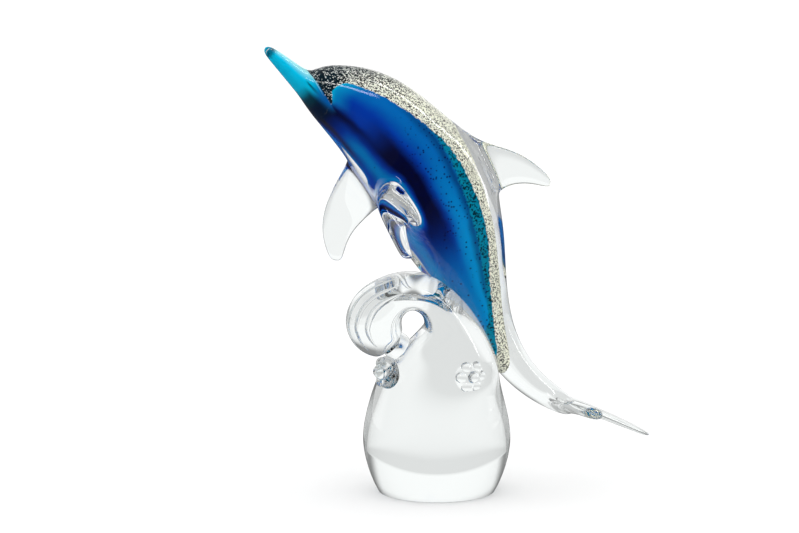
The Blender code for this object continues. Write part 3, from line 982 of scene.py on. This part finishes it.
@dataclass
class Dolphin:
    """Dolphin of clear glass, drawn ring by ring from beak to tail."""

    seat: Vector = field(default_factory=lambda: Vector((8.47 * MM, 0.0, 89.42 * MM)))
    setback: float = 9.0 * MM
    side_bend_radius: float = 260.0
    # Rings of the body from the beak: place along X, height, half depth and half width.
    body: tuple[tuple[float, float, float, float], ...] = (
        (-85.8, 109.2, 1.9, 2.2),
        (-79.0, 103.4, 3.3, 3.7),
        (-71.2, 96.0, 4.6, 5.4),
        (-67.4, 93.2, 6.0, 7.0),
        (-63.8, 91.6, 9.2, 9.6),
        (-58.2, 89.6, 12.9, 12.6),
        (-44.6, 83.2, 18.8, 17.6),
        (-32.6, 73.6, 21.8, 20.2),
        (-19.8, 60.2, 23.6, 21.8),
        (-11.9, 48.8, 24.7, 22.4),
        (-3.4, 32.0, 24.6, 22.0),
        (2.4, 17.5, 21.0, 19.4),
        (9.6, -0.9, 13.8, 14.0),
        (17.7, -21.6, 8.8, 9.6),
        (29.9, -39.5, 6.9, 7.8),
        (44.2, -49.0, 5.4, 7.2),
        (54.6, -54.0, 3.6, 5.0),
    )
    # Each fin: first ring, number of faces and angle of its root, then leading point, trailing
    # point and thickness of each section. Back fin, far and near flipper, far and near fluke.
    fins: tuple[tuple[tuple[int, int, float], tuple], ...] = (
        (
            (8, 2, 0.0),
            (
                ((8.6, 9.0, 68.0), (19.6, 9.0, 43.4), 6.4),
                ((17.6, 9.0, 65.0), (22.6, 9.0, 46.4), 3.8),
                ((30.6, 9.0, 61.0), (31.6, 9.0, 48.2), 3.0),
                ((42.6, 9.0, 50.4), (42.4, 9.0, 45.4), 2.2),
            ),
        ),
        (
            (7, 2, 135.0),
            (
                ((-54.6, 22.0, 47.0), (-38.0, 22.0, 32.6), 5.0),
                ((-60.2, 29.0, 33.0), (-45.4, 29.0, 24.6), 3.4),
                ((-61.0, 35.0, 21.0), (-49.2, 35.0, 17.4), 2.8),
                ((-57.0, 39.0, 9.0), (-51.6, 39.0, 8.4), 2.4),
            ),
        ),
        (
            (8, 2, -135.0),
            (
                ((-36.4, -25.0, 46.8), (-19.4, -25.0, 36.0), 5.6),
                ((-33.6, -34.0, 38.8), (-22.6, -34.0, 33.4), 4.2),
                ((-28.3, -40.0, 28.9), (-21.0, -40.0, 26.4), 3.8),
                ((-24.2, -45.0, 21.2), (-18.8, -45.0, 21.2), 3.8),
            ),
        ),
        (
            (15, 1, 90.0),
            (
                ((50.5, 17.0, -50.6), (61.0, 8.0, -55.8), 5.2),
                ((67.0, 23.0, -58.6), (76.0, 13.0, -62.4), 3.4),
                ((89.0, 27.0, -68.6), (91.0, 22.0, -70.8), 2.4),
            ),
        ),
        (
            (15, 1, -90.0),
            (
                ((46.5, -9.0, -47.6), (59.4, -3.6, -53.4), 6.6),
                ((51.5, -18.0, -48.4), (64.0, -13.0, -52.8), 6.0),
                ((59.6, -24.0, -50.0), (65.4, -22.0, -52.2), 5.6),
            ),
        ),
    )
    smoothing: int = 4

    def drawn(self, point: tuple[float, float, float] | Vector) -> Vector:
        """World place of a point of the drawing."""
        return self.seat + Vector(point) * MM

    def row(self, place: float) -> Vector:
        """Place along X, height, half depth and half width at any place between two rings.

        Args:
            place: Place along the body, counted in rings.

        Returns:
            The four values, in millimetres.
        """
        index = min(int(place), len(self.body) - 2)
        share = place - index
        last = len(self.body) - 1
        indices = (min(max(index + step, 0), last) for step in (-1, 0, 1, 2))
        before, start, end, after = (Vector(self.body[near]) for near in indices)
        curve = start * 2.0 + (end - before) * share
        curve += (before * 2.0 - start * 5.0 + end * 4.0 - after) * share**2
        return (curve + (start * 3.0 - before - end * 3.0 + after) * share**3) / 2.0

    def spine_point(self, x: float, height: float) -> Vector:
        """Point of the spine, which is bent round to the front at both ends.

        Args:
            x: Place along X in the drawing.
            height: Height in the drawing.

        Returns:
            The point, in metres.
        """
        yaw = x / self.side_bend_radius
        bend = self.side_bend_radius
        plan = Vector((bend * math.sin(yaw), bend * (math.cos(yaw) - 1.0), height))
        return self.drawn(plan) + Vector((0.0, self.setback, 0.0))

    def ring(self, place: float, before: Vector, after: Vector) -> Ring:
        """Ring at a place, square to the line between two rows.

        Args:
            place: Place along the body, counted in rings.
            before: Row before the place.
            after: Row after the place.

        Returns:
            The ring of the smoothed body.
        """
        x, height, half_depth, half_width = self.row(place)
        yaw = x / self.side_bend_radius
        forward = Vector((math.cos(yaw), -math.sin(yaw), 0.0))
        side = Vector((math.sin(yaw), math.cos(yaw), 0.0))
        along = forward * (after[0] - before[0]) + Vector((0.0, 0.0, after[1] - before[1]))
        across = along.normalized().cross(side)
        return Ring(self.spine_point(x, height), across, side, half_depth * MM, half_width * MM)

    def cage_ring(self, index: int) -> Ring:
        """Ring of the cage, a little larger than the smoothed body."""
        last = len(self.body) - 1
        ring = self.ring(index, Vector(self.body[max(index - 1, 0)]), Vector(self.body[min(index + 1, last)]))
        half_depth = ring.half_depth * RING_FULLNESS
        return Ring(ring.centre, ring.across, ring.side, half_depth, ring.half_width * RING_FULLNESS)

    def body_ring(self, place: float) -> Ring:
        """Ring of the smoothed body at any place."""
        step = 0.05
        after = self.row(min(place + step, len(self.body) - 1.0))
        return self.ring(place, self.row(max(place - step, 0.0)), after)

    def build(self) -> bpy.types.Object:
        """Make the dolphin with its fins.

        Returns:
            The piece of glass.
        """
        rings = [self.cage_ring(index) for index in range(len(self.body))]
        cage = Cage("dolphin_glass", rings[0])
        cage.run_through(rings[1:])
        for (first, count, angle), sections in self.fins:
            targets = []
            for index in range(first, first + count):
                targets.append((rings[index].point(angle) + rings[index + 1].point(angle)) / 2.0)
            drawn = []
            for lead, trail, thickness in sections:
                drawn.append(FinSection(self.drawn(lead), self.drawn(trail), thickness * MM))
            cage.grow(targets, drawn)
        return cage.finish(self.smoothing)


@dataclass
class Core:
    """Blue core with its silver back, sealed in the dolphin."""

    dolphin: Dolphin
    # Each ring: place along the body, middle across it, half depth and half width, as shares.
    sections: tuple[tuple[float, float, float, float], ...] = (
        (0.30, 0.00, 0.66, 0.66),
        (1.00, 0.00, 0.72, 0.72),
        (2.00, 0.00, 0.74, 0.74),
        (3.00, 0.00, 0.74, 0.74),
        (4.00, 0.02, 0.72, 0.72),
        (5.00, 0.05, 0.69, 0.70),
        (6.00, 0.05, 0.68, 0.66),
        (7.00, 0.06, 0.71, 0.65),
        (8.00, 0.08, 0.72, 0.63),
        (9.00, 0.05, 0.69, 0.58),
        (10.0, -0.01, 0.61, 0.53),
        (11.0, -0.03, 0.58, 0.51),
        (12.0, -0.05, 0.56, 0.50),
        (12.6, -0.10, 0.52, 0.48),
        (13.2, -0.20, 0.47, 0.46),
        (13.7, -0.32, 0.28, 0.28),
    )
    steps: int = 400
    overrun: float = 0.4
    tries: int = 60
    smoothing: int = 3

    def ring(self, place: float, middle: float, half_depth: float, half_width: float) -> Ring:
        """Ring of the core, sized as shares of the body's own ring.

        Args:
            place: Place along the body, counted in rings.
            middle: How far the middle lies towards the back.
            half_depth: Half size towards the back.
            half_width: Half size towards the side.

        Returns:
            The ring, large enough to be smoothed.
        """
        outer = self.dolphin.body_ring(place)
        centre = outer.centre + outer.across * outer.half_depth * middle
        depth = outer.half_depth * half_depth * RING_FULLNESS
        return Ring(centre, outer.across, outer.side, depth, outer.half_width * half_width * RING_FULLNESS)

    def seen_across(self, depth: float, width: float) -> float:
        """Find where the glass shows a point of the core, seen square to the side.

        Args:
            depth: Place towards the back, as a share of the body's half depth.
            width: Place towards the side, as a share of the body's half width.

        Returns:
            The share of the half depth where the bent light puts the point.
        """
        distance = math.hypot(depth, width)
        target = math.atan2(abs(depth), abs(width))
        most = min(1.0, GLASS_INDEX * distance)
        seen = most
        for step in range(self.tries + 1):
            share = most * step / self.tries
            bent = math.asin(share) - math.asin(share / GLASS_INDEX)
            if bent + math.asin(min(share / (GLASS_INDEX * distance), 1.0)) >= target:
                seen = share
                break
        return math.copysign(seen, depth)

    def lay_out(self, piece: bpy.types.Object) -> None:
        """Keep on each point its place along the body and across it.

        Args:
            piece: Piece whose points are marked.
        """
        last = self.sections[-1][0] + self.overrun
        rings = [self.dolphin.body_ring(last * step / self.steps) for step in range(self.steps + 1)]
        along = []
        across = []
        for point in piece.data.vertices:
            place = min(range(len(rings)), key=lambda index: (rings[index].centre - point.co).length_squared)
            ring = rings[place]
            offset = point.co - ring.centre
            depth = offset.dot(ring.across) / ring.half_depth
            width = offset.dot(ring.side) / ring.half_width
            along.append(last * place / self.steps)
            across.append(self.seen_across(depth, width))
        for name, values in (("along", along), ("across", across)):
            kept = piece.data.attributes.new(name, "FLOAT", "POINT")
            kept.data.foreach_set("value", values)

    def build(self) -> bpy.types.Object:
        """Make the core.

        Returns:
            The piece, with its pattern laid out.
        """
        rings = [self.ring(*section) for section in self.sections]
        cage = Cage("blue_core", rings[0])
        cage.run_through(rings[1:])
        core = cage.finish(self.smoothing)
        self.lay_out(core)
        return core


@dataclass
class Figurine:
    """Dolphin leaping from the wave, with all that is sealed in the glass."""

    wave: Wave = field(default_factory=Wave)
    dolphin: Dolphin = field(default_factory=Dolphin)
    prunt_turns: tuple[float, float] = (-56.0, 31.0)

    def melt_together(self) -> bpy.types.Object:
        """Join the dolphin, the wave and its prunts into one body of glass.

        Returns:
            The piece of glass.
        """
        wave = self.wave.build()
        prunts = [Prunt(turn).build() for turn in self.prunt_turns]
        join(wave, gather("prunts", prunts), Operation.MELT)
        glass = self.dolphin.build()
        glass.name = "figurine_glass"
        join(glass, wave, Operation.MELT)
        return glass

    def build(self) -> None:
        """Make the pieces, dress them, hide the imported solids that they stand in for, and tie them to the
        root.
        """
        glass = self.melt_together()
        self.dress(glass, ClearGlass().material())
        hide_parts("dolphin", "wave_base")
        core = Core(self.dolphin).build()
        self.dress(core, CasedCore().material())

    def dress(self, piece: bpy.types.Object, material: bpy.types.Material) -> None:
        """Give a piece its finish and report it.

        Args:
            piece: Piece that is finished.
            material: Finish of the whole piece.
        """
        piece.data.materials.clear()
        piece.data.materials.append(material)
        bpy.ops.object.select_all(action="DESELECT")
        bpy.context.view_layer.objects.active = piece
        piece.select_set(True)
        bpy.ops.object.shade_smooth_by_angle(angle=math.radians(35.0))
        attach(piece, "root")
        logger.info("%s: %d faces", piece.name, len(piece.data.polygons))


# Studio


@dataclass
class Studio:
    """White floor and backdrop, soft light from all round and the photograph's camera."""

    target: Vector = field(default_factory=lambda: Vector((-16.65 * MM, 0.0, 101.1 * MM)))
    distance: float = 1.2
    elevation: float = 8.0
    lens: float = 121.8
    floor_size: float = 40.0
    floor_gap: float = 0.2 * MM
    bounces: int = 24

    def camera(self) -> None:
        """Set up the camera."""
        tilt = math.radians(self.elevation)
        away = Vector((0.0, -math.cos(tilt), math.sin(tilt)))
        data = bpy.data.cameras.new("camera")
        data.lens = self.lens
        data.clip_start = 0.01
        camera = bpy.data.objects.new("camera", data)
        camera.location = self.target + away * self.distance
        camera.rotation_euler = away.to_track_quat("Z", "Y").to_euler()
        bpy.context.scene.collection.objects.link(camera)
        bpy.context.scene.camera = camera

    def floor(self) -> None:
        """Lay the floor."""
        bpy.ops.object.select_all(action="DESELECT")
        bpy.ops.mesh.primitive_plane_add(size=self.floor_size)
        floor = bpy.context.object
        floor.name = "floor"
        floor.location.z = -self.floor_gap
        floor.data.materials.append(PaleFloor().material())

    def world(self) -> None:
        """Light the studio from all round."""
        world = bpy.data.worlds.new("studio")
        world.use_nodes = True
        world.cycles.sampling_method = "NONE"
        bpy.context.scene.world = world
        graph = Graph(world.node_tree)
        direction = graph.add("ShaderNodeTexCoord", {}, {}, "Generated")
        x, y, z = (graph.add("ShaderNodeSeparateXYZ", {}, {0: direction}, axis) for axis in "XYZ")
        back = y.rise(-0.05, 0.25)
        high = z.rise(0.28, 0.58)
        inside = graph.add("ShaderNodeLightPath", {}, {}, "Transmission Depth").at_most(1.0)
        front = 0.05 + inside * 0.40
        room = front + back * (1.06 - front - high * 0.76)
        room = room * (1.0 - (x * x).rise(0.50, 0.85) * inside * 0.75)
        strip = y.bump(0.04, 0.11, 0.18) * x.rise(0.25, 0.40) * z.rise(0.05, 0.20)
        lamp = z.bump(0.70, 0.75, 0.80) * y.rise(-0.15, -0.35) * (x * x).rise(0.16, 0.08)
        glimpsed = room + (strip * 9.0 + lamp * 7.0) * (1.0 - inside)
        path = graph.add("ShaderNodeLightPath", {}, {}, "Is Camera Ray")
        soft = graph.add("ShaderNodeLightPath", {}, {}, "Diffuse Depth").at_most(1.0)
        fill = 1.75 + 0.45 * z
        strength = path + (1.0 - path) * (soft * fill + (1.0 - soft) * glimpsed)
        inputs = {"Color": (1.0, 1.0, 1.0, 1.0), "Strength": strength}
        graph.surface(graph.add("ShaderNodeBackground", {}, inputs))

    def light_paths(self) -> None:
        """Let light run long enough through the glass."""
        paths = bpy.context.scene.cycles
        paths.max_bounces = self.bounces
        paths.glossy_bounces = self.bounces
        paths.transmission_bounces = self.bounces

    def build(self) -> None:
        """Set the whole studio up."""
        self.light_paths()
        self.camera()
        self.floor()
        self.world()
        bpy.context.scene.view_settings.view_transform = "Standard"


def main() -> None:
    """Build the figurine and its studio."""
    logging.basicConfig(level=logging.INFO, format="%(name)s: %(message)s")
    Figurine().build()
    Studio().build()


if __name__ == "__main__":
    main()
